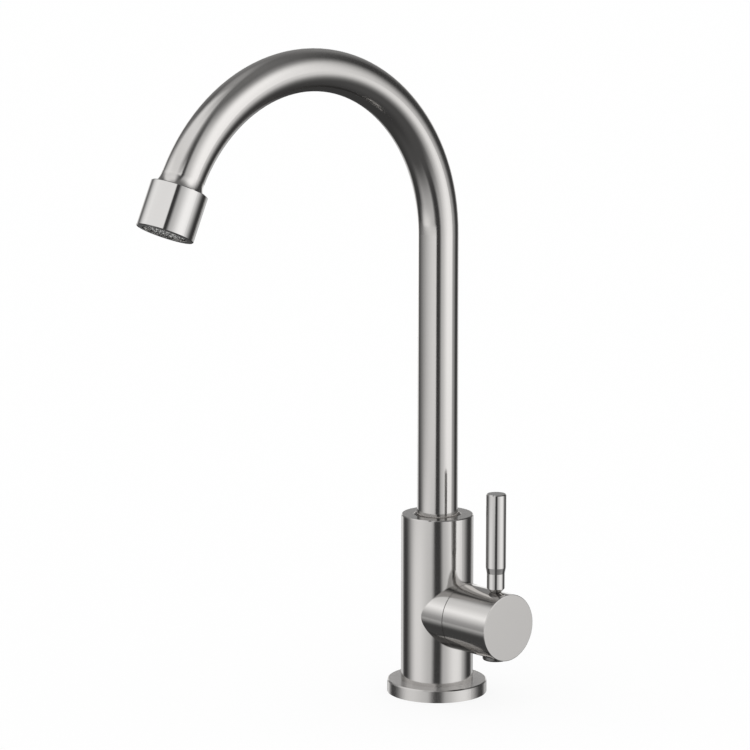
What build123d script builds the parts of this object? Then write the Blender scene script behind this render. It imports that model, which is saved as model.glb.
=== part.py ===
from build123d import *
import os
from math import cos, radians, sin, sqrt

# Kitchen faucet with one lever: round base, upright column with a side valve, swivelling gooseneck spout.
# Millimetres. Z is up, the origin is on the deck under the middle of the base, the spout points to -Y
# and the handle to +X.

# Clearances
THREAD_CLEARANCE = 0.05      # radial, threads are plain cylinders at their major diameter
RUNNING_CLEARANCE = 0.05     # radial, turning shafts
SLIP_CLEARANCE = 0.1         # radial, pieces slipped in by hand and the spout in its socket
PASS_CLEARANCE = 0.3         # radial, shank through the flange and the deck washers
AXIAL_PLAY = 0.1             # end play of the turning pieces
SEAM_GAP = 0.12              # between the handle and the stub, and between the spout's ferrule and its bush

# Base flange and its gasket
FLANGE_DIAMETER = 54.0
FLANGE_THICKNESS = 6.8
FLANGE_EDGE = 0.6            # chamfer round the flange's top
GASKET_THICKNESS = 2.0
GASKET_OUTER_RIM = 3.5       # metal outside the gasket's groove
GASKET_INNER_RIM = 4.2       # metal between the groove and the flange's hole

# Inlet shank and what clamps it to the deck
SHANK_DIAMETER = 20.955      # G 1/2 pipe thread
SHANK_WALL = 3.5
SHANK_GRIP = 10.5            # screwed into the column
INLET_SEAL_THICKNESS = 1.5
DECK_THICKNESS = 12.0        # worktop between the flange and the washers
DECK_WASHER_DIAMETER = 40.0
DECK_WASHER_THICKNESS = 3.0
CLAMP_WASHER_THICKNESS = 2.0
NUT_WALL = 4.5               # from the thread to the nut's flats
NUT_HEIGHT = 7.5
RELIEF_OFFSET = 0.5          # nut to the relief groove above the hose thread
RELIEF_WIDTH = 1.5
RELIEF_DEPTH = 0.9
HOSE_THREAD_LENGTH = 18.5
SHANK_EDGE = 1.0

# Column and its water ways
COLUMN_DIAMETER = 39.0
COLUMN_EDGE = 0.5            # outer chamfer of the column's top
COLUMN_MOUTH_EDGE = 0.35     # inner chamfer of the column's top
HANDLE_HEIGHT = 45.2         # axis of the valve and handle above the deck
STUB_PROUD = 3.65            # side stub beyond the column's wall
STUB_LEDGE = 0.2             # stub's radius beyond the handle's
STUB_EDGE = 0.05
DUCT_DIAMETER = 8.0
DUCT_BEND_ROOM = 1.0         # bend radius of the inlet duct beyond its own radius
COLUMN_BACK_WALL = 4.0       # behind the rising duct
SEAT_WALL = 4.0              # between the rising duct and the valve seat
OUTLET_DUCT_DIAMETER = 9.0
OUTLET_DUCT_SETBACK = 6.0    # from the valve seat
CHAMBER_ROOM = 2.1           # water space round the bonnet's cage
SOCKET_WALL = 10.0           # between the valve chamber and the spout's socket

# Valve headwork, in order from the seat outwards
BONNET_THREAD_DIAMETER = 20.955
BONNET_THREAD_LENGTH = 10.2
SEAT_SEAL_LENGTH = 3.0
SEAT_SEAL_WALL = 2.4
DISC_DIAMETER = 15.8
FIXED_DISC_THICKNESS = 2.8
DISC_GAP = 0.05
TURNING_DISC_THICKNESS = 2.75
DISC_PORT_INNER_RADIUS = 2.9
DISC_PORT_RIM = 1.5
DISC_PORT_ANGLE = 70.0
CAGE_WALL = 0.95             # bonnet wall round the discs
CAGE_OVERHANG = 0.5          # bonnet over the seat seal
CAVITY_STEP = 0.9            # bonnet shoulder over the turning disc
WINDOW_LENGTH = 3.0          # from the turning disc to the spindle's lug
WINDOW_EDGE = 0.3
WINDOW_ANGLE = 110.0
SPINDLE_DIAMETER = 8.9
SPINDLE_HUB_RIM = 0.65       # hub beyond the spindle's radius
BLADE_WIDTH = 4.0
BLADE_DEPTH = 1.1            # into the turning disc's slot
STOP_ANGLE = 180.0           # bonnet stop inside the cavity
STOP_SLACK = 1.0             # degrees left at each end of the quarter turn
HANDLE_TRAVEL = 90.0         # degrees
LUG_THICKNESS = 1.8
SPINDLE_WASHER_THICKNESS = 0.5
HEADWORK_GASKET_THICKNESS = 1.0
HEX_FLATS = 24.0
HEX_HEIGHT = 5.0
NOSE_DIAMETER = 15.0
NOSE_LENGTH = 4.8
SPINDLE_RING_SECTION = 1.2
SPINDLE_RING_PITCH = 5.0
CLIP_THICKNESS = 1.0
SPINDLE_CLIP_WIDTH = 2.2
SPINDLE_CLIP_DEPTH = 0.9
CLIP_OPENING = 40.0          # degrees left open in both clips
CLIP_ROOM = 6.2              # from the bonnet's nose to the handle's splined bore

# Handle
HEX_ROOM = 1.75              # between the bonnet's hex corners and the handle
BARREL_WALL = 2.4
BARREL_EDGE = 0.4            # rounding of the barrel's front
BARREL_REAR_EDGE = 0.1
SPLINE_TEETH = 20
SPLINE_DIAMETER = 7.9
SPLINE_TOOTH = 0.4
SPLINE_CLEARANCE = 0.08
SPLINE_BORE_LENGTH = 11.0
SPLINE_END_ROOM = 1.0
BARREL_FRONT_WALL = 4.45
LEVER_NECK_DIAMETER = 9.5
LEVER_GRIP_DIAMETER = 10.7
LEVER_NECK_LENGTH = 8.2
LEVER_TAPER_LENGTH = 3.2
LEVER_GRIP_LENGTH = 39.7
LEVER_EDGE = 0.5
LEVER_STUD_DIAMETER = 3.0
LEVER_STUD_FLOOR = 3.2       # metal between the stud's hole and the splined bore
LEVER_CONE_RISE = 2.0        # from the barrel's top to the neck
LEVER_CONE_LENGTH = 3.6      # from the neck down to the stud
CONE_ROOM = 0.2              # between the lever's cone and its seat in the barrel
SET_SCREW_DIAMETER = 5.0
SET_SCREW_LENGTH = 8.0
SET_SCREW_KEY = 2.5          # hexagon across its flats, and its depth
PLUG_DIAMETER = 13.6
PLUG_PROUD = 1.0
PLUG_EDGE = 0.8
PLUG_STEM_DIAMETER = 9.8
PLUG_STEM_GAP = 2.0          # between the set screw and the plug's stem
PLUG_SEAT_GAP = 0.03         # between the plug's head and the barrel

# Spout
TUBE_DIAMETER = 22.0
TUBE_WALL = 1.2
COLLAR_GAP = 1.6             # open ring between the tube and the column's mouth
SPOUT_WASHER_THICKNESS = 1.5
SPOUT_WASHER_WIDTH = 4.3
FERRULE_SHOULDER = 1.0       # ledge that the tube stands on
FERRULE_RING_MARGIN = 3.9    # from the ring zone's ends to the rings
FERRULE_RING_PITCH = 6.6
TUBE_ENGAGEMENT = 8.0
SPOUT_RING_SECTION = 1.5
RING_DEPTH_ROOM = 0.05       # under the sealing rings
RING_WIDTH_ROOM = 0.4        # beside the sealing rings
BUSH_LENGTH = 5.5
SPOUT_CLIP_BITE = 1.3        # clip into the column's groove
SPOUT_CLIP_ROOM = 0.65       # between the clip and the tube
CLIP_GROOVE_ROOM = 0.1
COLLAR_RECESS = 1.4          # from the column's top to the clip
SPOUT_STRAIGHT = 152.3       # from the column's top to the bend
BEND_RADIUS = 91.3
BEND_ANGLE = 156.0

# Outlet
FLARE_LENGTH = 5.5
FLARE_STEP = 1.4
SPIGOT_LENGTH = 2.5
SPIGOT_CLEARANCE = 0.45      # radial, the spigot is straight in the curved tube
SPIGOT_WALL = 1.0
NOZZLE_THREAD_DIAMETER = 24.0
NOZZLE_THREAD_LENGTH = 9.5
SLEEVE_WALL = 2.85
SLEEVE_SEAM = 0.15           # between the flare and the sleeve
SLEEVE_TOP_EDGE = 0.4
SLEEVE_END_EDGE = 0.4
SLEEVE_LIP_LENGTH = 1.2
SLEEVE_LIP_WIDTH = 0.3
AERATOR_WASHER_THICKNESS = 2.0
AERATOR_WASHER_WIDTH = 2.9
AERATOR_CAGE_WALL = 1.5
AERATOR_CAGE_TAIL = 5.1      # below the flow disc's ledge
AERATOR_LEDGE = 1.2
LEDGE_LENGTH = 1.2
STRAINER_THICKNESS = 0.6
STRAINER_RIM_WALL = 0.6      # cage wall round the strainer
FLOW_DISC_DEPTH = 3.0        # from the cage's top to the flow disc
FLOW_DISC_THICKNESS = 1.5
STRAINER_HOLE = 0.9
STRAINER_PITCH = 1.9
FLOW_HOLE = 1.1
FLOW_PITCH = 2.8
SCREEN_THICKNESS = 0.5
SCREEN_PITCH = 1.25
SCREEN_WIRE = 0.4

# Radii and heights that follow from the sizes above
shank_radius = SHANK_DIAMETER / 2
shank_bore_radius = shank_radius - SHANK_WALL
flange_radius = FLANGE_DIAMETER / 2
flange_hole_radius = shank_radius + PASS_CLEARANCE
shank_top = FLANGE_THICKNESS + SHANK_GRIP
inlet_floor = shank_top + INLET_SEAL_THICKNESS
clamp_washer_top = -DECK_THICKNESS - DECK_WASHER_THICKNESS
nut_top = clamp_washer_top - CLAMP_WASHER_THICKNESS
nut_bottom = nut_top - NUT_HEIGHT
relief_top = nut_bottom - RELIEF_OFFSET
hose_thread_top = relief_top - RELIEF_WIDTH
shank_bottom = hose_thread_top - HOSE_THREAD_LENGTH

column_radius = COLUMN_DIAMETER / 2
stub_end = column_radius + STUB_PROUD
duct_radius = DUCT_DIAMETER / 2
rising_duct_x = -(column_radius - COLUMN_BACK_WALL - duct_radius)
seat_x = rising_duct_x + duct_radius + SEAT_WALL
bonnet_thread_radius = BONNET_THREAD_DIAMETER / 2
disc_radius = DISC_DIAMETER / 2
disc_bore_radius = disc_radius + RUNNING_CLEARANCE
cage_radius = disc_bore_radius + CAGE_WALL
chamber_radius = cage_radius + CHAMBER_ROOM
socket_floor = HANDLE_HEIGHT + chamber_radius + SOCKET_WALL

tube_radius = TUBE_DIAMETER / 2
tube_bore_radius = tube_radius - TUBE_WALL
socket_radius = tube_radius + COLLAR_GAP
ferrule_radius = socket_radius - SLIP_CLEARANCE
ferrule_bottom = socket_floor + SPOUT_WASHER_THICKNESS + AXIAL_PLAY
tube_seat = ferrule_bottom + 2 * FERRULE_RING_MARGIN + FERRULE_RING_PITCH
ferrule_top = tube_seat + TUBE_ENGAGEMENT
bush_bottom = ferrule_top + SEAM_GAP
bush_top = bush_bottom + BUSH_LENGTH
clip_groove_top = bush_top + CLIP_THICKNESS + CLIP_GROOVE_ROOM
column_top = clip_groove_top + COLLAR_RECESS
bend_start = column_top + SPOUT_STRAIGHT

# Valve places, measured along the handle's axis from the seat
cavity_radius = disc_bore_radius - CAVITY_STEP
spindle_radius = SPINDLE_DIAMETER / 2
hub_radius = spindle_radius + SPINDLE_HUB_RIM
turning_disc_start = SEAT_SEAL_LENGTH + FIXED_DISC_THICKNESS + DISC_GAP
turning_disc_end = turning_disc_start + TURNING_DISC_THICKNESS
hub_start = turning_disc_end + WINDOW_LENGTH
hub_end = hub_start + LUG_THICKNESS
cavity_end = hub_end + SPINDLE_WASHER_THICKNESS + AXIAL_PLAY
stub_face = stub_end - seat_x
bonnet_thread_start = stub_face - BONNET_THREAD_LENGTH
hex_start = stub_face + HEADWORK_GASKET_THICKNESS
hex_end = hex_start + HEX_HEIGHT
nose_end = hex_end + NOSE_LENGTH
spindle_clip_start = nose_end + AXIAL_PLAY
spline_start = nose_end + CLIP_ROOM
spline_end = spline_start + SPLINE_BORE_LENGTH
barrel_rear = stub_face + SEAM_GAP
barrel_front = spline_end + BARREL_FRONT_WALL
hex_corner_radius = HEX_FLATS / sqrt(3)
barrel_cavity_radius = hex_corner_radius + HEX_ROOM
barrel_radius = barrel_cavity_radius + BARREL_WALL
stub_radius = barrel_radius + STUB_LEDGE
spline_radius = SPLINE_DIAMETER / 2
lever_along = spline_start + SPLINE_BORE_LENGTH / 2

# Outlet radii, and places measured along the outlet's axis from the sleeve's top
flare_radius = tube_radius + FLARE_STEP
spigot_radius = tube_bore_radius - SPIGOT_CLEARANCE
nozzle_bore_radius = spigot_radius - SPIGOT_WALL
nozzle_radius = NOZZLE_THREAD_DIAMETER / 2
sleeve_bore_radius = nozzle_radius + THREAD_CLEARANCE
sleeve_radius = sleeve_bore_radius + SLEEVE_WALL
sleeve_lip_radius = sleeve_bore_radius - SLEEVE_LIP_WIDTH
insert_radius = sleeve_bore_radius - SLIP_CLEARANCE
cage_top = NOZZLE_THREAD_LENGTH + AERATOR_WASHER_THICKNESS
strainer_floor = cage_top + STRAINER_THICKNESS
flow_disc_start = cage_top + FLOW_DISC_DEPTH
flow_disc_end = flow_disc_start + FLOW_DISC_THICKNESS
ledge_end = flow_disc_end + LEDGE_LENGTH
cage_end = ledge_end + AERATOR_CAGE_TAIL
lip_start = cage_end + SCREEN_THICKNESS
sleeve_end = lip_start + SLEEVE_LIP_LENGTH
cage_bore_radius = insert_radius - AERATOR_CAGE_WALL

# Frames that the turned pieces are placed in
valve_place = Pos(seat_x, 0, HANDLE_HEIGHT) * Rot(0, 90, 0)
lever_place = Pos(seat_x + lever_along, 0, HANDLE_HEIGHT)
bend_turn = radians(BEND_ANGLE)
outlet_point = (0, -BEND_RADIUS * (1 - cos(bend_turn)), bend_start + BEND_RADIUS * sin(bend_turn))
outlet_way = (0, -sin(bend_turn), cos(bend_turn))
outlet_place = Plane(origin=outlet_point, x_dir=(1, 0, 0), z_dir=outlet_way).location

standing = (Align.CENTER, Align.CENTER, Align.MIN)


def turned(points, angle=360.0, start=0.0):
    """A turned piece from the (radius, height) points of its half section, or a slice of one."""
    section = Plane.XZ * make_face(Polyline(*points, close=True))
    return Rot(0, 0, start) * revolve(section, Axis.Z, revolution_arc=angle)


def ring(inner, outer, bottom, top, angle=360.0, start=0.0):
    """A plain ring between two radii and two heights."""
    return turned([(inner, bottom), (outer, bottom), (outer, top), (inner, top)], angle, start)


def rod(radius, bottom, top):
    """A round bar on the Z axis."""
    return Pos(0, 0, bottom) * Cylinder(radius, top - bottom, align=standing)


def hexagon_bar(flats, bottom, top):
    """A hexagonal bar on the Z axis."""
    return Pos(0, 0, bottom) * extrude(RegularPolygon(flats / sqrt(3), 6), top - bottom)


def toothed_bar(radius, bottom, top):
    """A bar with the spline's triangular teeth."""
    corners = []
    for step in range(2 * SPLINE_TEETH):
        reach = radius if step % 2 == 0 else radius - SPLINE_TOOTH
        turn = radians(180.0 * step / SPLINE_TEETH)
        corners.append((reach * cos(turn), reach * sin(turn)))
    return Pos(0, 0, bottom) * extrude(make_face(Polyline(*corners, close=True)), top - bottom)


def sealing_ring(outer, section, height):
    """A round-section rubber ring."""
    return Pos(0, 0, height) * Torus(outer - section / 2, section / 2)


def ring_groove(outer, section, height):
    """The cut that a sealing ring lies in."""
    half_width = (section + RING_WIDTH_ROOM) / 2
    floor = outer - section - RING_DEPTH_ROOM
    return ring(floor, outer + section, height - half_width, height + half_width)


def perforated_disc(radius, thickness, hole, pitch, field):
    """A flat disc with a hexagonal field of round holes."""
    holes = []
    rows = int(field / pitch) + 1
    row_height = pitch * sqrt(3) / 2
    for row in range(-rows, rows + 1):
        for column in range(-rows, rows + 1):
            x = (column + (row % 2) / 2) * pitch
            y = row * row_height
            if sqrt(x * x + y * y) + hole / 2 <= field:
                holes.append(Wire.make_circle(hole / 2, Plane((x, y, 0))))
    return extrude(Face(Wire.make_circle(radius), holes), thickness)


def square_mesh(radius, thickness, pitch, wire, field):
    """A flat woven screen drawn as one sheet with square openings."""
    holes = []
    rows = int(field / pitch) + 1
    opening = (pitch - wire) / 2
    for row in range(-rows, rows + 1):
        for column in range(-rows, rows + 1):
            x = column * pitch
            y = row * pitch
            if sqrt((abs(x) + opening) ** 2 + (abs(y) + opening) ** 2) <= field:
                corners = [(x - opening, y - opening), (x + opening, y - opening),
                           (x + opening, y + opening), (x - opening, y + opening)]
                holes.append(Wire.make_polygon(corners, close=True))
    return extrude(Face(Wire.make_circle(radius), holes), thickness)


# Base and deck pieces

gasket_inner = flange_hole_radius + GASKET_INNER_RIM
gasket_outer = flange_radius - GASKET_OUTER_RIM


def make_base_flange():
    groove_inner = gasket_inner - SLIP_CLEARANCE
    groove_outer = gasket_outer + SLIP_CLEARANCE
    return turned([
        (flange_hole_radius, 0), (groove_inner, 0), (groove_inner, GASKET_THICKNESS),
        (groove_outer, GASKET_THICKNESS), (groove_outer, 0), (flange_radius, 0),
        (flange_radius, FLANGE_THICKNESS - FLANGE_EDGE), (flange_radius - FLANGE_EDGE, FLANGE_THICKNESS),
        (flange_hole_radius, FLANGE_THICKNESS)])


def make_inlet_shank():
    bore = shank_bore_radius
    relief = shank_radius - RELIEF_DEPTH
    return turned([
        (bore, shank_bottom), (shank_radius - SHANK_EDGE, shank_bottom),
        (shank_radius, shank_bottom + SHANK_EDGE), (shank_radius, hose_thread_top),
        (relief, hose_thread_top), (relief, relief_top), (shank_radius, relief_top),
        (shank_radius, shank_top), (bore, shank_top)])


def make_lock_nut():
    flats = 2 * (shank_radius + NUT_WALL)
    thread = rod(shank_radius + THREAD_CLEARANCE, nut_bottom, nut_top)
    return hexagon_bar(flats, nut_bottom, nut_top) - thread


# Column

def make_inlet_duct():
    cross_height = inlet_floor + duct_radius
    route = FilletPolyline(
        (0, 0, cross_height), (rising_duct_x, 0, cross_height), (rising_duct_x, 0, HANDLE_HEIGHT),
        (seat_x + SEAT_WALL / 2, 0, HANDLE_HEIGHT), radius=duct_radius + DUCT_BEND_ROOM)
    return sweep(Plane(route @ 0, z_dir=route % 0) * Circle(duct_radius), path=route)


def make_body_column():
    outside = turned([
        (0, FLANGE_THICKNESS), (column_radius, FLANGE_THICKNESS), (column_radius, column_top - COLUMN_EDGE),
        (column_radius - COLUMN_EDGE, column_top), (0, column_top)])
    stub = valve_place * turned([
        (0, -seat_x), (stub_radius, -seat_x), (stub_radius, stub_face - STUB_EDGE),
        (stub_radius - STUB_EDGE, stub_face), (0, stub_face)])
    column = outside + stub
    column -= turned([
        (0, socket_floor), (socket_radius, socket_floor), (socket_radius, bush_top),
        (socket_radius + SPOUT_CLIP_BITE, bush_top), (socket_radius + SPOUT_CLIP_BITE, clip_groove_top),
        (socket_radius, clip_groove_top), (socket_radius, column_top - COLUMN_MOUTH_EDGE),
        (socket_radius + COLUMN_MOUTH_EDGE, column_top), (0, column_top)])
    column -= valve_place * turned([
        (0, 0), (chamber_radius, 0), (chamber_radius, bonnet_thread_start),
        (bonnet_thread_radius + THREAD_CLEARANCE, bonnet_thread_start),
        (bonnet_thread_radius + THREAD_CLEARANCE, stub_face), (0, stub_face)])
    column -= turned([
        (0, FLANGE_THICKNESS), (shank_radius + THREAD_CLEARANCE, FLANGE_THICKNESS),
        (shank_radius + THREAD_CLEARANCE, inlet_floor), (shank_bore_radius, inlet_floor),
        (shank_bore_radius, inlet_floor + DUCT_DIAMETER), (0, inlet_floor + DUCT_DIAMETER)])
    column -= make_inlet_duct()
    column -= Pos(seat_x + OUTLET_DUCT_SETBACK, 0, 0) * rod(
        OUTLET_DUCT_DIAMETER / 2, HANDLE_HEIGHT, socket_floor + SPOUT_WASHER_THICKNESS)
    return column


# Valve headwork, built along Z from the seat and laid along the handle's axis

def disc_ports(start_turn, bottom, top):
    ports = []
    for turn in (start_turn, start_turn + 180.0):
        ports.append(ring(
            DISC_PORT_INNER_RADIUS, disc_radius - DISC_PORT_RIM, bottom, top,
            DISC_PORT_ANGLE, turn - DISC_PORT_ANGLE / 2))
    return ports


def make_seat_seal():
    return valve_place * ring(disc_radius - SEAT_SEAL_WALL, disc_radius, 0, SEAT_SEAL_LENGTH)


def make_fixed_disc():
    bottom = SEAT_SEAL_LENGTH
    top = bottom + FIXED_DISC_THICKNESS
    return valve_place * (rod(disc_radius, bottom, top) - disc_ports(HANDLE_TRAVEL, bottom, top))


blade_reach = cavity_radius - PASS_CLEARANCE
blade_length = 2 * sqrt(blade_reach ** 2 - (BLADE_WIDTH / 2) ** 2)


def make_turning_disc():
    disc = rod(disc_radius, turning_disc_start, turning_disc_end)
    disc -= disc_ports(0.0, turning_disc_start, turning_disc_end)
    slot = Box(
        BLADE_WIDTH + 2 * SLIP_CLEARANCE, blade_length + 2 * SLIP_CLEARANCE, BLADE_DEPTH + AXIAL_PLAY,
        align=(Align.CENTER, Align.CENTER, Align.MAX))
    return valve_place * (disc - Pos(0, 0, turning_disc_end) * slot)


def make_headwork_bonnet():
    cage_start = SEAT_SEAL_LENGTH - CAGE_OVERHANG
    journal = spindle_radius + RUNNING_CLEARANCE
    nose = NOSE_DIAMETER / 2
    disc_bore_end = turning_disc_end + AXIAL_PLAY
    bonnet = turned([
        (disc_bore_radius, cage_start), (cage_radius, cage_start), (cage_radius, bonnet_thread_start),
        (bonnet_thread_radius, bonnet_thread_start), (bonnet_thread_radius, stub_face),
        (nose, stub_face), (nose, nose_end), (journal, nose_end), (journal, cavity_end),
        (cavity_radius, cavity_end), (cavity_radius, disc_bore_end), (disc_bore_radius, disc_bore_end)])
    collar = ring(nose, bonnet_thread_radius, stub_face, hex_start)
    hexagon = hexagon_bar(HEX_FLATS, hex_start, hex_end) - rod(journal, hex_start, hex_end)
    bonnet += [collar, hexagon]
    for turn in (0.0, 180.0):
        bonnet -= ring(
            cavity_radius - CAVITY_STEP, cage_radius + CAGE_WALL, disc_bore_end + WINDOW_EDGE,
            hub_start - WINDOW_EDGE, WINDOW_ANGLE, turn - WINDOW_ANGLE / 2)
    stop_inner = hub_radius + PASS_CLEARANCE
    bonnet += ring(stop_inner, cavity_radius, hub_start + AXIAL_PLAY, cavity_end, STOP_ANGLE, -STOP_ANGLE)
    return valve_place * bonnet


def make_headwork_gasket():
    inner = bonnet_thread_radius + SLIP_CLEARANCE
    return valve_place * ring(inner, hex_corner_radius, stub_face, hex_start)


spindle_ring_heights = [
    cavity_end + SPINDLE_RING_PITCH,
    cavity_end + 2 * SPINDLE_RING_PITCH]


def make_spindle():
    journal_end = spline_start - AXIAL_PLAY
    groove_end = spindle_clip_start + CLIP_THICKNESS + CLIP_GROOVE_ROOM
    clip_floor = spindle_radius - SPINDLE_CLIP_DEPTH
    spindle = turned([
        (0, hub_start), (hub_radius, hub_start), (hub_radius, hub_end), (spindle_radius, hub_end),
        (spindle_radius, spindle_clip_start), (clip_floor, spindle_clip_start), (clip_floor, groove_end),
        (spindle_radius, groove_end), (spindle_radius, journal_end), (0, journal_end)])
    blade_start = turning_disc_end - BLADE_DEPTH
    blade = Pos(0, 0, blade_start) * Box(
        BLADE_WIDTH, blade_length, hub_start - blade_start, align=standing)
    lug_angle = 360.0 - STOP_ANGLE - HANDLE_TRAVEL - 2 * STOP_SLACK
    lug_radius = cavity_radius - PASS_CLEARANCE
    lug = ring(spindle_radius, lug_radius, hub_start + AXIAL_PLAY, hub_end, lug_angle, STOP_SLACK)
    spindle += [blade, lug, toothed_bar(spline_radius, journal_end, spline_end - SPLINE_END_ROOM)]
    for height in spindle_ring_heights:
        spindle -= ring_groove(spindle_radius, SPINDLE_RING_SECTION, height)
    return valve_place * spindle


def make_spindle_o_rings():
    rings = [sealing_ring(spindle_radius, SPINDLE_RING_SECTION, height) for height in spindle_ring_heights]
    return valve_place * Compound(rings)


def make_spindle_washer():
    inner = spindle_radius + SLIP_CLEARANCE
    outer = hub_radius
    return valve_place * ring(inner, outer, hub_end, hub_end + SPINDLE_WASHER_THICKNESS)


def open_clip(inner, outer, bottom):
    return ring(inner, outer, bottom, bottom + CLIP_THICKNESS, 360.0 - CLIP_OPENING, CLIP_OPENING / 2)


def make_spindle_clip():
    inner = spindle_radius - SPINDLE_CLIP_DEPTH + RUNNING_CLEARANCE
    return valve_place * open_clip(inner, inner + SPINDLE_CLIP_WIDTH, spindle_clip_start)


# Handle

cone_top = barrel_radius + LEVER_CONE_RISE
cone_bottom = cone_top - LEVER_CONE_LENGTH
lever_neck_radius = LEVER_NECK_DIAMETER / 2
stud_bottom = spline_radius + LEVER_STUD_FLOOR
stud_radius = LEVER_STUD_DIAMETER / 2
set_screw_tip = -spline_radius - SPLINE_CLEARANCE
plug_stem_radius = PLUG_STEM_DIAMETER / 2
plug_stem_top = set_screw_tip - SET_SCREW_LENGTH - PLUG_STEM_GAP


def make_handle_barrel():
    barrel = valve_place * turned([
        (0, spline_start), (barrel_cavity_radius, spline_start), (barrel_cavity_radius, barrel_rear),
        (barrel_radius - BARREL_REAR_EDGE, barrel_rear), (barrel_radius, barrel_rear + BARREL_REAR_EDGE),
        (barrel_radius, barrel_front), (0, barrel_front)])
    barrel = fillet(barrel.edges().group_by(Axis.X)[-1], BARREL_EDGE)
    barrel -= valve_place * toothed_bar(spline_radius + SPLINE_CLEARANCE, spline_start, spline_end)
    hole = stud_radius + THREAD_CLEARANCE
    barrel -= lever_place * turned([
        (0, stud_bottom), (hole, stud_bottom), (hole, cone_bottom - CONE_ROOM),
        (lever_neck_radius, cone_top - CONE_ROOM), (0, cone_top - CONE_ROOM)])
    barrel -= lever_place * rod(SET_SCREW_DIAMETER / 2 + THREAD_CLEARANCE, -barrel_radius, 0)
    barrel -= lever_place * rod(
        plug_stem_radius + SLIP_CLEARANCE, -barrel_radius - PLUG_PROUD, plug_stem_top + PASS_CLEARANCE)
    return barrel


def make_lever_rod():
    neck = lever_neck_radius
    grip = LEVER_GRIP_DIAMETER / 2
    taper_start = cone_top + LEVER_NECK_LENGTH
    grip_start = taper_start + LEVER_TAPER_LENGTH
    top = grip_start + LEVER_GRIP_LENGTH
    return lever_place * turned([
        (0, stud_bottom), (stud_radius, stud_bottom), (stud_radius, cone_bottom), (neck, cone_top),
        (neck, taper_start), (grip, grip_start), (grip, top - LEVER_EDGE), (grip - LEVER_EDGE, top),
        (0, top)])


def make_set_screw():
    end = set_screw_tip - SET_SCREW_LENGTH
    screw = rod(SET_SCREW_DIAMETER / 2, end, set_screw_tip)
    return lever_place * (screw - hexagon_bar(SET_SCREW_KEY, end, end + SET_SCREW_KEY))


def make_screw_plug():
    head = rod(PLUG_DIAMETER / 2, -barrel_radius - PLUG_PROUD, plug_stem_top)
    head = fillet(head.edges().group_by(Axis.Z)[0], PLUG_EDGE)
    reach = PLUG_DIAMETER
    head -= Rot(0, 90, 0) * rod(barrel_radius + PLUG_SEAT_GAP, -reach, reach)
    return lever_place * (head + rod(plug_stem_radius, -barrel_radius - PLUG_PROUD / 2, plug_stem_top))


# Spout

def make_spout_thrust_washer():
    outer = socket_radius - SLIP_CLEARANCE
    return ring(outer - SPOUT_WASHER_WIDTH, outer, socket_floor, socket_floor + SPOUT_WASHER_THICKNESS)


spout_ring_heights = [
    ferrule_bottom + FERRULE_RING_MARGIN,
    ferrule_bottom + FERRULE_RING_MARGIN + FERRULE_RING_PITCH]


def make_spout_ferrule():
    ferrule = turned([
        (tube_bore_radius - FERRULE_SHOULDER, ferrule_bottom), (ferrule_radius, ferrule_bottom),
        (ferrule_radius, ferrule_top), (tube_radius + THREAD_CLEARANCE, ferrule_top),
        (tube_radius + THREAD_CLEARANCE, tube_seat), (tube_bore_radius - FERRULE_SHOULDER, tube_seat)])
    for height in spout_ring_heights:
        ferrule -= ring_groove(ferrule_radius, SPOUT_RING_SECTION, height)
    return ferrule


def make_spout_o_rings():
    rings = [sealing_ring(ferrule_radius, SPOUT_RING_SECTION, height) for height in spout_ring_heights]
    return Compound(rings)


def make_guide_bush():
    return ring(tube_radius + SLIP_CLEARANCE, socket_radius - THREAD_CLEARANCE, bush_bottom, bush_top)


def make_retaining_clip():
    outer = socket_radius + SPOUT_CLIP_BITE - CLIP_GROOVE_ROOM
    return open_clip(tube_radius + SPOUT_CLIP_ROOM, outer, bush_top)


def make_spout_tube():
    straight = ring(tube_bore_radius, tube_radius, tube_seat, bend_start)
    section = Pos(0, 0, bend_start) * (Circle(tube_radius) - Circle(tube_bore_radius))
    bend = revolve(section, Axis((0, -BEND_RADIUS, bend_start), (1, 0, 0)), revolution_arc=BEND_ANGLE)
    end_cut = outlet_place * rod(TUBE_DIAMETER, -FLARE_LENGTH, FLARE_LENGTH)
    return straight + (bend - end_cut)


# Outlet, built along Z from the sleeve's top and laid along the outlet's axis

def make_outlet_nozzle():
    spigot_start = -FLARE_LENGTH - SPIGOT_LENGTH
    flare_start = (tube_radius, -FLARE_LENGTH)
    flare_end = (flare_radius, 0)
    section = make_face([
        Polyline(
            flare_end, (nozzle_radius, 0), (nozzle_radius, NOZZLE_THREAD_LENGTH),
            (nozzle_bore_radius, NOZZLE_THREAD_LENGTH), (nozzle_bore_radius, spigot_start),
            (spigot_radius, spigot_start), (spigot_radius, -FLARE_LENGTH), flare_start),
        TangentArc(flare_start, flare_end, tangent=(0, 1))])
    return outlet_place * revolve(Plane.XZ * section, Axis.Z)


def make_aerator_sleeve():
    return outlet_place * turned([
        (sleeve_bore_radius, SLEEVE_SEAM), (sleeve_radius - SLEEVE_TOP_EDGE, SLEEVE_SEAM),
        (sleeve_radius, SLEEVE_SEAM + SLEEVE_TOP_EDGE), (sleeve_radius, sleeve_end - SLEEVE_END_EDGE),
        (sleeve_radius - SLEEVE_END_EDGE, sleeve_end), (sleeve_lip_radius, sleeve_end),
        (sleeve_lip_radius, lip_start), (sleeve_bore_radius, lip_start)])


def make_aerator_washer():
    return outlet_place * ring(
        insert_radius - AERATOR_WASHER_WIDTH, insert_radius, NOZZLE_THREAD_LENGTH, cage_top)


strainer_seat = insert_radius - STRAINER_RIM_WALL


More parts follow.
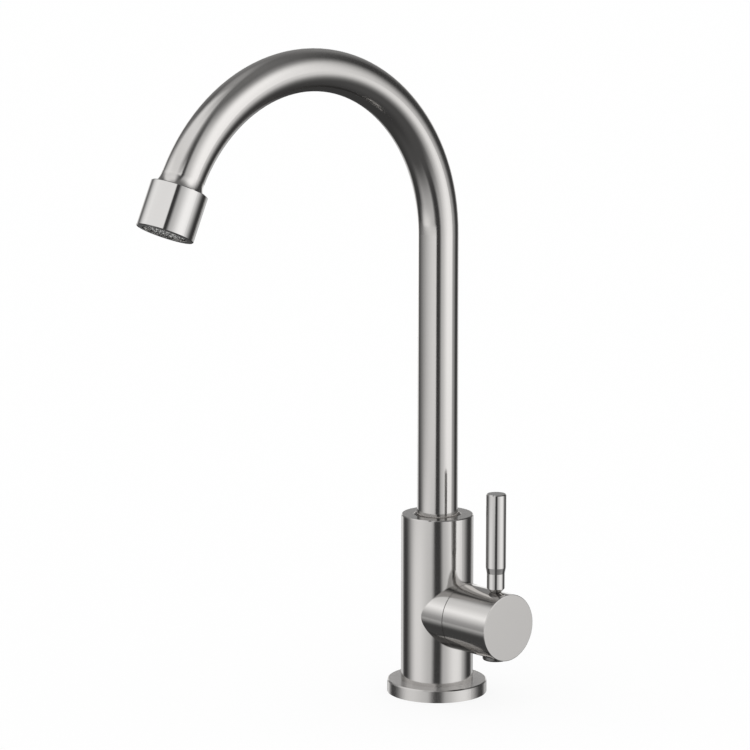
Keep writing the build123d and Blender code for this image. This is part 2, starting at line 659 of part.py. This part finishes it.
def make_aerator_cage():
    ledge = cage_bore_radius - AERATOR_LEDGE
    return outlet_place * turned([
        (strainer_seat, cage_top), (insert_radius, cage_top), (insert_radius, cage_end),
        (cage_bore_radius, cage_end), (cage_bore_radius, ledge_end), (ledge, ledge_end),
        (ledge, flow_disc_end), (cage_bore_radius, flow_disc_end),
        (cage_bore_radius, strainer_floor), (strainer_seat, strainer_floor)])


def make_inlet_strainer():
    radius = strainer_seat - SLIP_CLEARANCE
    field = insert_radius - AERATOR_WASHER_WIDTH
    disc = perforated_disc(radius, STRAINER_THICKNESS, STRAINER_HOLE, STRAINER_PITCH, field)
    return outlet_place * Pos(0, 0, cage_top) * disc


def make_flow_disc():
    radius = cage_bore_radius - SLIP_CLEARANCE
    disc = perforated_disc(radius, FLOW_DISC_THICKNESS, FLOW_HOLE, FLOW_PITCH, radius - AERATOR_LEDGE)
    return outlet_place * Pos(0, 0, flow_disc_start) * disc


def make_outlet_screen():
    mesh = square_mesh(insert_radius, SCREEN_THICKNESS, SCREEN_PITCH, SCREEN_WIRE, sleeve_lip_radius)
    return outlet_place * Pos(0, 0, cage_end) * mesh


pieces = {
    "body_column": make_body_column(),
    "base_flange": make_base_flange(),
    "base_gasket": ring(gasket_inner, gasket_outer, 0, GASKET_THICKNESS),
    "inlet_shank": make_inlet_shank(),
    "inlet_seal": ring(shank_bore_radius, shank_radius, shank_top, inlet_floor),
    "deck_washer": ring(flange_hole_radius, DECK_WASHER_DIAMETER / 2, clamp_washer_top, -DECK_THICKNESS),
    "clamp_washer": ring(flange_hole_radius, DECK_WASHER_DIAMETER / 2, nut_top, clamp_washer_top),
    "lock_nut": make_lock_nut(),
    "headwork_bonnet": make_headwork_bonnet(),
    "headwork_gasket": make_headwork_gasket(),
    "seat_seal": make_seat_seal(),
    "fixed_disc": make_fixed_disc(),
    "spout_thrust_washer": make_spout_thrust_washer(),
    "guide_bush": make_guide_bush(),
    "retaining_clip": make_retaining_clip(),
    "turning_disc": make_turning_disc(),
    "spindle": make_spindle(),
    "spindle_o_rings": make_spindle_o_rings(),
    "spindle_washer": make_spindle_washer(),
    "spindle_clip": make_spindle_clip(),
    "handle_barrel": make_handle_barrel(),
    "lever_rod": make_lever_rod(),
    "set_screw": make_set_screw(),
    "screw_plug": make_screw_plug(),
    "spout_tube": make_spout_tube(),
    "spout_ferrule": make_spout_ferrule(),
    "spout_o_rings": make_spout_o_rings(),
    "outlet_nozzle": make_outlet_nozzle(),
    "aerator_sleeve": make_aerator_sleeve(),
    "aerator_washer": make_aerator_washer(),
    "aerator_cage": make_aerator_cage(),
    "inlet_strainer": make_inlet_strainer(),
    "flow_disc": make_flow_disc(),
    "outlet_screen": make_outlet_screen(),
}

os.makedirs("parts", exist_ok=True)
for name, piece in pieces.items():
    export_step(piece, f"parts/{name}.step")
print(f"column top {column_top:.2f}, barrel front {seat_x + barrel_front:.2f}, "
      f"sleeve end {sleeve_end:.2f}, outlet {outlet_point[1]:.1f} {outlet_point[2]:.1f}")
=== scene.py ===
from math import atan2, cos, degrees, radians, sin, sqrt, tau

import bpy
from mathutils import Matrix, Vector


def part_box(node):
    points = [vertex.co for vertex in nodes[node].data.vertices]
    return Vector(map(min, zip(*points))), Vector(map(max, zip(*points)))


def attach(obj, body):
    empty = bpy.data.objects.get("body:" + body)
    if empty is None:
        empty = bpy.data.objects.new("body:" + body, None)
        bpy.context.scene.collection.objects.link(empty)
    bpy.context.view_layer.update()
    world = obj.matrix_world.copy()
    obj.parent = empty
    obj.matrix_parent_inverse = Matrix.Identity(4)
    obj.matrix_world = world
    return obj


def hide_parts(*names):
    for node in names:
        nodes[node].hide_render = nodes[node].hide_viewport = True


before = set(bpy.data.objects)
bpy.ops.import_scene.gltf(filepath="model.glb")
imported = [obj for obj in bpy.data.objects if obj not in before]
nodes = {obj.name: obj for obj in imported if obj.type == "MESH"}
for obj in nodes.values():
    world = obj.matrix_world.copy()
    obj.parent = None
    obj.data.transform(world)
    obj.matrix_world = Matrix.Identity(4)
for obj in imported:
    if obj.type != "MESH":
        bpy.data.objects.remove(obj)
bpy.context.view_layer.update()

print("frame loaded:", len(nodes), "nodes")


class Wire:
    # one socket of a node tree; arithmetic on wires adds Math nodes

    def __init__(self, tree, socket=None):
        self.tree = tree
        self.socket = socket

    def node(self, kind, settings, inputs, output=0):
        made = self.tree.nodes.new("ShaderNode" + kind)
        for key, value in settings.items():
            setattr(made, key, value)
        for key, value in inputs.items():
            if isinstance(value, Wire):
                self.tree.links.new(value.socket, made.inputs[key])
            else:
                made.inputs[key].default_value = value
        return Wire(self.tree, made.outputs[output] if made.outputs else None)

    def math(self, operation, first, second=0.0):
        return self.node("Math", {"operation": operation}, {0: first, 1: second})

    def __add__(self, other):
        return self.math("ADD", self, other)

    def __sub__(self, other):
        return self.math("SUBTRACT", self, other)

    def __rsub__(self, other):
        return self.math("SUBTRACT", other, self)

    def __mul__(self, other):
        return self.math("MULTIPLY", self, other)

    __radd__ = __add__


def mixColour(wire, factor, first, second):
    return wire.node("Mix", {"data_type": "RGBA"}, {0: factor, 6: (*first, 1), 7: (*second, 1)}, output=2)


def vectorMath(wire, operation, first, second, output=0):
    return wire.node("VectorMath", {"operation": operation}, {0: first, 1: second}, output)


def splitVector(wire, vector):
    outputs = wire.node("SeparateXYZ", {}, {0: vector}).socket.node.outputs
    return [Wire(wire.tree, outputs[axis]) for axis in "XYZ"]


def speckle(wire, place, scale, detail=2.0):
    return wire.node("TexNoise", {}, {"Vector": place, "Scale": scale, "Detail": detail})


def newMaterial(name):
    material = bpy.data.materials.new(name)
    material.use_nodes = True
    material.node_tree.nodes.clear()
    wire = Wire(material.node_tree)
    place = wire.node("TexCoord", {}, {}, output="Object")
    return material, wire, place


def finishMaterial(wire, sockets):
    surface = wire.node("BsdfPrincipled", {}, sockets)
    wire.node("OutputMaterial", {}, {"Surface": surface})


def dress(material, names):
    for name in names:
        slots = nodes[name].data.materials
        slots.clear()
        slots.append(material)


# where the turned pieces have their axes, read from the frame
def middleOf(name):
    low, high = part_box(name)
    return Vector([(a + b) / 2 for a, b in zip(low, high)])


tube = {"bendRadius": 0.0913, "bendAngle": 156.0}  # the gooseneck's bend, as in the CAD
tubeLow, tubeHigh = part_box("spout_tube")
tubeRadius = tubeHigh[0]
bendStart = tubeHigh[2] - tube["bendRadius"] - tubeRadius
bendTurn = radians(tube["bendAngle"])
outletWay = Vector((0, -sin(bendTurn), cos(bendTurn)))
upright = Vector((0, 0, 1))
handleWay = Vector((1, 0, 0))
handleMiddle = middleOf("handle_barrel")


# grain of a turned piece: rings round its axis on the sides, and round circles on flat ends
def turnedRings(wire, place, middle, axis):
    offset = vectorMath(wire, "SUBTRACT", place, middle)
    along = vectorMath(wire, "DOT_PRODUCT", offset, axis, output="Value")
    onAxis = wire.node("VectorMath", {"operation": "SCALE"}, {0: axis, "Scale": along})
    return along + vectorMath(wire, "DISTANCE", offset, onAxis, output="Value")


# grain of the gooseneck: rings round the tube, which follow its bend
def tubeRings(wire, place):
    y, z = splitVector(wire, place)[1:]
    rise = z - bendStart
    bent = wire.math("GREATER_THAN", rise, 0.0)
    turn = wire.math("ARCTAN2", rise, y + tube["bendRadius"])
    return rise * (1 - bent) + turn * tube["bendRadius"] * bent


# share of plain scattered light: mattTop on faces whose normals rise above topFrom,
# and all of it within mattInside of the upright axis, as in the column's mouth
def mattShare(wire, place, look):
    normal = wire.node("TexCoord", {}, {}, output="Normal")
    upward = vectorMath(wire, "DOT_PRODUCT", normal, upright, output="Value")
    onTop = wire.math("GREATER_THAN", upward, look["topFrom"])
    flatPlace = vectorMath(wire, "MULTIPLY", place, (1, 1, 0))
    offAxis = vectorMath(wire, "DISTANCE", flatPlace, (0, 0, 0), output="Value")
    inside = wire.math("LESS_THAN", offAxis, look["mattInside"])
    return wire.math("MAXIMUM", onTop * look["mattTop"], inside)


bumpDepth = 0.0001  # metres, of all fine bumps


# steel with a ring grain: fine lines across it, longer streaks along it and slow changes of gloss
def steelSurface(name, look, ringsOf):
    material, wire, place = newMaterial(name)
    rings = wire.node("CombineXYZ", {}, {"X": ringsOf(wire, place) * look["linesPerMetre"]})
    streakScale = (look["streaksPerMetre"],) * 3
    grainPlace = wire.node("VectorMath", {"operation": "MULTIPLY_ADD"}, {0: place, 1: streakScale, 2: rings})
    grain = speckle(wire, grainPlace, 1.0, detail=3.0)
    cloud = speckle(wire, place, look["cloudsPerMetre"])
    tone = grain * look["grainShare"] + cloud * (1 - look["grainShare"])
    gloss = look["roughness"] + (grain - 0.5) * look["grainGloss"] + (cloud - 0.5) * look["cloudGloss"]
    bump = wire.node("Bump", {}, {"Strength": look["grainHeight"], "Distance": bumpDepth, "Height": grain})
    metal = 1.0
    if look["mattTop"] or look["mattInside"]:
        metal = 1 - mattShare(wire, place, look)
    finishMaterial(wire, {
        "Base Color": mixColour(wire, tone, look["darkTone"], look["lightTone"]),
        "Metallic": metal, "Roughness": gloss, "Normal": bump})
    return material


satin = {
    "darkTone": (0.775, 0.755, 0.735), "lightTone": (0.845, 0.825, 0.805),
    "roughness": 0.12, "grainGloss": 0.05, "cloudGloss": 0.03, "grainHeight": 0.02,
    "linesPerMetre": 5000.0, "streaksPerMetre": 60.0, "cloudsPerMetre": 30.0,
    "grainShare": 0.7, "topFrom": 0.9, "mattTop": 0.0, "mattInside": 0.0,
}
columnSatin = {**satin, "mattInside": 0.01296}
softSatin = {**satin, "roughness": 0.2, "mattTop": 0.3}
polished = {
    "darkTone": (0.785, 0.770, 0.755), "lightTone": (0.835, 0.820, 0.805),
    "roughness": 0.06, "grainGloss": 0.03, "cloudGloss": 0.02, "grainHeight": 0.008,
    "linesPerMetre": 6000.0, "streaksPerMetre": 80.0, "cloudsPerMetre": 60.0,
    "grainShare": 0.7, "mattTop": 0.0, "mattInside": 0.0,
}
# painted shade: a darkened copy of the polished steel for the screw plug, which sits in shade under the
# barrel
paintedShadeSteel = {
    **polished, "darkTone": (0.20, 0.195, 0.19), "lightTone": (0.27, 0.265, 0.26), "roughness": 0.25,
}

turnedPieces = [
    ("body_column", columnSatin, Vector((0, 0, 0)), upright),
    ("base_flange", softSatin, Vector((0, 0, 0)), upright),
    ("handle_barrel", satin, Vector((0, 0, handleMiddle.z)), handleWay),
    ("outlet_nozzle", satin, middleOf("outlet_screen"), outletWay),
    ("lever_rod", polished, middleOf("lever_rod"), upright),
    ("screw_plug", paintedShadeSteel, middleOf("screw_plug"), upright),
    ("aerator_sleeve", polished, middleOf("outlet_screen"), outletWay),
]
for pieceName, finish, pieceMiddle, pieceAxis in turnedPieces:
    steel = steelSurface(
        pieceName + "_steel", finish,
        lambda wire, place: turnedRings(wire, place, pieceMiddle, pieceAxis))
    dress(steel, [pieceName])
dress(steelSurface("spout_tube_steel", satin, tubeRings), ["spout_tube"])
print("steel surfaces done")


specks = {"detail": 4.0, "gloss": 0.2}  # of all speckled surfaces


# hidden pieces: one speckled surface each for plain steel, brass, rubber, plastic and ceramic
def speckledSurface(name, look):
    material, wire, place = newMaterial(name)
    fine = speckle(wire, place, look["specksPerMetre"], specks["detail"])
    bump = wire.node("Bump", {}, {"Strength": look["bump"], "Distance": bumpDepth, "Height": fine})
    finishMaterial(wire, {
        "Base Color": mixColour(wire, fine, look["darkTone"], look["lightTone"]),
        "Metallic": look["metallic"],
        "Roughness": look["roughness"] + (fine - 0.5) * specks["gloss"],
        "Normal": bump})
    return material


innerFinishes = {
    "plain_steel": {
        "darkTone": (0.42, 0.42, 0.43), "lightTone": (0.60, 0.60, 0.60), "metallic": 1.0,
        "roughness": 0.35, "specksPerMetre": 900.0, "bump": 0.1,
        "pieces": ["clamp_washer", "retaining_clip", "spindle_clip", "set_screw", "outlet_screen"]},
    "brass": {
        "darkTone": (0.60, 0.42, 0.17), "lightTone": (0.76, 0.56, 0.26), "metallic": 1.0,
        "roughness": 0.3, "specksPerMetre": 700.0, "bump": 0.1,
        "pieces": ["lock_nut", "headwork_bonnet", "spindle", "spout_ferrule"]},
    "black_rubber": {
        "darkTone": (0.012, 0.012, 0.013), "lightTone": (0.03, 0.03, 0.031), "metallic": 0.0,
        "roughness": 0.7, "specksPerMetre": 1500.0, "bump": 0.3,
        "pieces": ["base_gasket", "deck_washer", "inlet_seal", "seat_seal", "spout_o_rings",
                   "spindle_o_rings", "aerator_washer"]},
    "white_plastic": {
        "darkTone": (0.62, 0.62, 0.60), "lightTone": (0.74, 0.74, 0.72), "metallic": 0.0,
        "roughness": 0.45, "specksPerMetre": 1200.0, "bump": 0.12,
        "pieces": ["guide_bush", "spout_thrust_washer", "headwork_gasket", "spindle_washer",
                   "aerator_cage", "inlet_strainer", "flow_disc"]},
    "valve_ceramic": {
        "darkTone": (0.78, 0.77, 0.73), "lightTone": (0.86, 0.85, 0.82), "metallic": 0.0,
        "roughness": 0.2, "specksPerMetre": 1800.0, "bump": 0.04,
        "pieces": ["fixed_disc", "turning_disc"]},
}
for finishName, finish in innerFinishes.items():
    dress(speckledSurface(finishName, finish), finish["pieces"])
print("inner surfaces done")


# thread of the inlet shank: a helical ridge in the bump, on speckled steel
thread = {
    "pitch": 0.001814, "height": 0.0009, "roughness": 0.3, "specksPerMetre": 900.0,
    "darkTone": (0.50, 0.50, 0.51), "lightTone": (0.62, 0.62, 0.62),
}


def threadSurface():
    material, wire, place = newMaterial("shank_thread")
    x, y, z = splitVector(wire, place)
    turns = z * (1 / thread["pitch"]) + wire.math("ARCTAN2", y, x) * (1 / tau)
    ridge = wire.math("PINGPONG", turns, 0.5)
    fine = speckle(wire, place, thread["specksPerMetre"], specks["detail"])
    bump = wire.node("Bump", {}, {"Strength": 1.0, "Distance": thread["height"], "Height": ridge})
    finishMaterial(wire, {
        "Base Color": mixColour(wire, fine, thread["darkTone"], thread["lightTone"]),
        "Metallic": 1.0,
        "Roughness": thread["roughness"] + (fine - 0.5) * specks["gloss"],
        "Normal": bump})
    return material


dress(threadSurface(), ["inlet_shank"])


# woven screen in the outlet: two sets of round wires, each over and under the other
weave = {
    "pitch": 0.00125, "wireRadius": 0.00016, "rimPoints": 24,
    # the wires' two tones are painted light: the light one paints glints, the dark one paints shade between
    # them
    "spotsPerMetre": 700.0, "shadeBelow": 0.44, "glintAbove": 0.58,
    "paintedShadeTone": (0.12, 0.12, 0.12), "paintedGlintTone": (0.92, 0.92, 0.90),
    "metallic": 0.4, "roughness": 0.45, "glintGloss": 0.2,
}


def addWire(curve, places, closed=False):
    spline = curve.splines.new("NURBS")
    spline.points.add(len(places) - 1)
    for point, place in zip(spline.points, places):
        point.co = (*place, 1)
    spline.use_cyclic_u = closed
    spline.use_endpoint_u = not closed
    spline.order_u = 4


# painted glints and painted shade: spots on its wires get a light base colour and a little more gloss, and
# the wires between get a dark base colour
def weaveSurface():
    material, wire, place = newMaterial("weave_steel")
    spots = speckle(wire, place, weave["spotsPerMetre"])
    paintedGlint = wire.node(
        "MapRange", {"interpolation_type": "SMOOTHSTEP"},
        {"Value": spots, "From Min": weave["shadeBelow"], "From Max": weave["glintAbove"]})
    finishMaterial(wire, {
        "Base Color": mixColour(wire, paintedGlint, weave["paintedShadeTone"], weave["paintedGlintTone"]),
        "Metallic": weave["metallic"], "Roughness": weave["roughness"] - paintedGlint * weave["glintGloss"]})
    return material


def makeScreen():
    low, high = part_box("outlet_screen")
    reach = (high[0] - low[0]) / 2 - weave["wireRadius"]
    curve = bpy.data.curves.new("outlet_weave", "CURVE")
    curve.dimensions = "3D"
    curve.bevel_depth = weave["wireRadius"]
    curve.bevel_resolution = 1
    curve.resolution_u = 3
    pitch = weave["pitch"]
    lift = 3 * weave["wireRadius"]  # a cubic spline keeps a third of it
    rows = int(reach / pitch)
    for side in (1, -1):
        for row in range(-rows, rows + 1):
            half = sqrt(reach ** 2 - (row * pitch) ** 2)
            crossings = int(half / pitch)
            steps = [(-half, 0)]
            for step in range(-crossings, crossings + 1):
                steps.append((step * pitch, side * lift * (-1) ** (row + step)))
            steps.append((half, 0))
            if side == 1:
                addWire(curve, [(along, row * pitch, rise) for along, rise in steps])
            else:
                addWire(curve, [(row * pitch, along, rise) for along, rise in steps])
    corners = [tau * step / weave["rimPoints"] for step in range(weave["rimPoints"])]
    addWire(curve, [(reach * cos(turn), reach * sin(turn), 0) for turn in corners], closed=True)
    screen = bpy.data.objects.new("outlet_weave", curve)
    screen.location = middleOf("outlet_screen")
    screen.rotation_euler = outletWay.to_track_quat("Z", "Y").to_euler()
    bpy.context.scene.collection.objects.link(screen)
    curve.materials.append(weaveSurface())
    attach(screen, "spout")
    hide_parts("outlet_screen")


makeScreen()
print("thread and woven screen done")


# floor, white and matt, which keeps a faint shadow; the steel mirrors the studio's boxes instead of it
floorLook = {"size": 60.0, "colour": (0.98, 0.98, 0.98), "whiteShare": 0.85}


def makeFloor():
    half = floorLook["size"] / 2
    mesh = bpy.data.meshes.new("floor")
    corners = [(-half, -half, 0), (half, -half, 0), (half, half, 0), (-half, half, 0)]
    mesh.from_pydata(corners, [], [(0, 1, 2, 3)])
    floor = bpy.data.objects.new("floor", mesh)
    bpy.context.scene.collection.objects.link(floor)
    material = bpy.data.materials.new("floor_white")
    material.use_nodes = True
    material.node_tree.nodes.clear()
    wire = Wire(material.node_tree)
    paint = wire.node("BsdfDiffuse", {}, {"Color": (*floorLook["colour"], 1)})
    white = wire.node("Emission", {}, {"Color": (1, 1, 1, 1), "Strength": 1.0})
    seen = wire.node("LightPath", {}, {}, output="Is Camera Ray")
    surface = wire.node("MixShader", {}, {0: seen * floorLook["whiteShare"], 1: paint, 2: white})
    wire.node("OutputMaterial", {}, {"Surface": surface})
    mesh.materials.append(material)
    floor.visible_glossy = False


makeFloor()


# camera of the photo
photoCamera = {
    "place": (1.24429, -1.15833, 0.46834), "look": (-0.73436, 0.65697, -0.17059),
    "focalPixels": 3220.65, "imagePixels": 750.0, "sensor": 36.0, "clipEnd": 200.0,
}


def makeCamera():
    data = bpy.data.cameras.new("photo_camera")
    data.sensor_width = photoCamera["sensor"]
    data.lens = photoCamera["focalPixels"] / photoCamera["imagePixels"] * photoCamera["sensor"]
    data.clip_end = photoCamera["clipEnd"]
    camera = bpy.data.objects.new("photo_camera", data)
    camera.location = photoCamera["place"]
    camera.rotation_euler = Vector(photoCamera["look"]).to_track_quat("-Z", "Y").to_euler()
    bpy.context.scene.collection.objects.link(camera)
    bpy.context.scene.camera = camera


makeCamera()


# studio: an even white dome lights everything, and the steel mirrors soft boxes with dark gaps between.
# Angles are degrees; azimuth 0 is towards the photo's camera and grows to its right.
# Each edge is (angle, half width of its soft fade). Light from a second mirror on is dimmed by
# secondMirror each time, and secondBox shows in such light alone.
studio = {
    "gapGlow": 0.045, "topGlow": 0.11, "topEdge": (52, 28), "secondMirror": 0.48,
    "secondBox": {"strength": 0.7, "left": (92, 10), "right": (150, 15), "bottom": (16, 6),
                  "top": (55, 15)},
    "boxes": {
        "rightWide": {"strength": 0.46, "left": (14, 7), "right": (95, 24),
                      "bottom": (-28, 17), "top": (50, 20)},
        "rightBright": {"strength": 0.55, "left": (38, 22), "right": (92, 26),
                        "bottom": (-20, 18), "top": (38, 16)},
        "leftLowWide": {"strength": 0.47, "left": (-86, 16), "right": (-15, 8),
                        "bottom": (-36, 18), "top": (-12, 0.8)},
        "leftLowBright": {"strength": 0.33, "left": (-102, 14), "right": (-41, 22),
                          "bottom": (-19, 7), "top": (-12, 0.8)},
        "leftBand": {"strength": 0.74, "left": (-78, 65), "right": (-10, 3),
                     "bottom": (-12, 0.8), "top": (6, 9)},
        "leftMiddle": {"strength": 0.82, "left": (-118, 30), "right": (-3, 3),
                       "bottom": (8, 12), "top": (36, 6)},
        "leftHigh": {"strength": 0.66, "left": (-122, 14), "right": (-20, 20),
                     "bottom": (36, 6), "top": (77, 20)},
        "leftSide": {"strength": 0.18, "left": (-122, 14), "right": (-84, 12),
                     "bottom": (-2, 10), "top": (24, 9)},
        "backLow": {"strength": 0.95, "left": (155, 14), "right": (215, 14),
                    "bottom": (-10, 5), "top": (9, 4)},
        "backHigh": {"strength": 0.18, "left": (150, 20), "right": (215, 20),
                     "bottom": (9, 4), "top": (45, 20)},
        "backRight": {"strength": 0.50, "left": (142, 12), "right": (166, 6),
                      "bottom": (-24, 8), "top": (-4, 6)},
        "backLeft": {"strength": 0.65, "left": (194, 6), "right": (219, 13),
                     "bottom": (-24, 8), "top": (-4, 6)},
        "leftBack": {"strength": 0.16, "left": (-175, 20), "right": (-125, 14),
                     "bottom": (52, 10), "top": (85, 10)},
        "under": {"strength": 0.03, "left": (-110, 30), "right": (110, 30),
                  "bottom": (-70, 15), "top": (-34, 12)},
    },
}


def fadeIn(wire, angle, edge):
    middle, soft = edge
    return wire.node(
        "MapRange", {"interpolation_type": "SMOOTHSTEP"},
        {"Value": angle, "From Min": middle - soft, "From Max": middle + soft})


def softBox(wire, x, y, elevation, look):
    middle = (look["left"][0] + look["right"][0]) / 2
    half = (look["right"][0] - look["left"][0]) / 2
    facing = radians(middle) + atan2(photoCamera["place"][1], photoCamera["place"][0])
    along = x * cos(facing) + y * sin(facing)
    across = y * cos(facing) - x * sin(facing)
    azimuth = wire.math("ARCTAN2", across, along) * degrees(1)
    fromLeft = fadeIn(wire, azimuth, (-half, look["left"][1]))
    pastRight = fadeIn(wire, azimuth, (half, look["right"][1]))
    heights = fadeIn(wire, elevation, look["bottom"]) * (1 - fadeIn(wire, elevation, look["top"]))
    return fromLeft * (1 - pastRight) * heights * look["strength"]


def makeStudio():
    world = bpy.data.worlds.new("studio")
    bpy.context.scene.world = world
    world.use_nodes = True
    world.node_tree.nodes.clear()
    wire = Wire(world.node_tree)
    way = wire.node("TexCoord", {}, {}, output="Generated")
    x, y, z = splitVector(wire, way)
    elevation = wire.math("ARCSINE", z) * degrees(1)
    mirrored = studio["gapGlow"] + fadeIn(wire, elevation, studio["topEdge"]) * studio["topGlow"]
    for look in studio["boxes"].values():
        mirrored = mirrored + softBox(wire, x, y, elevation, look)
    path = wire.node("LightPath", {}, {}).socket.node.outputs
    glossy = Wire(wire.tree, path["Is Glossy Ray"])
    depth = Wire(wire.tree, path["Glossy Depth"])
    again = wire.math("GREATER_THAN", depth, 1)
    mirrored = mirrored * wire.math("POWER", studio["secondMirror"], depth - 1)
    mirrored = mirrored + softBox(wire, x, y, elevation, studio["secondBox"]) * again
    light = 1 - glossy + mirrored * glossy
    background = wire.node("Background", {}, {"Color": light, "Strength": 1.0})
    wire.node("OutputWorld", {}, {"Surface": background})


makeStudio()
bpy.context.scene.view_settings.view_transform = "Standard"
print("stage done")
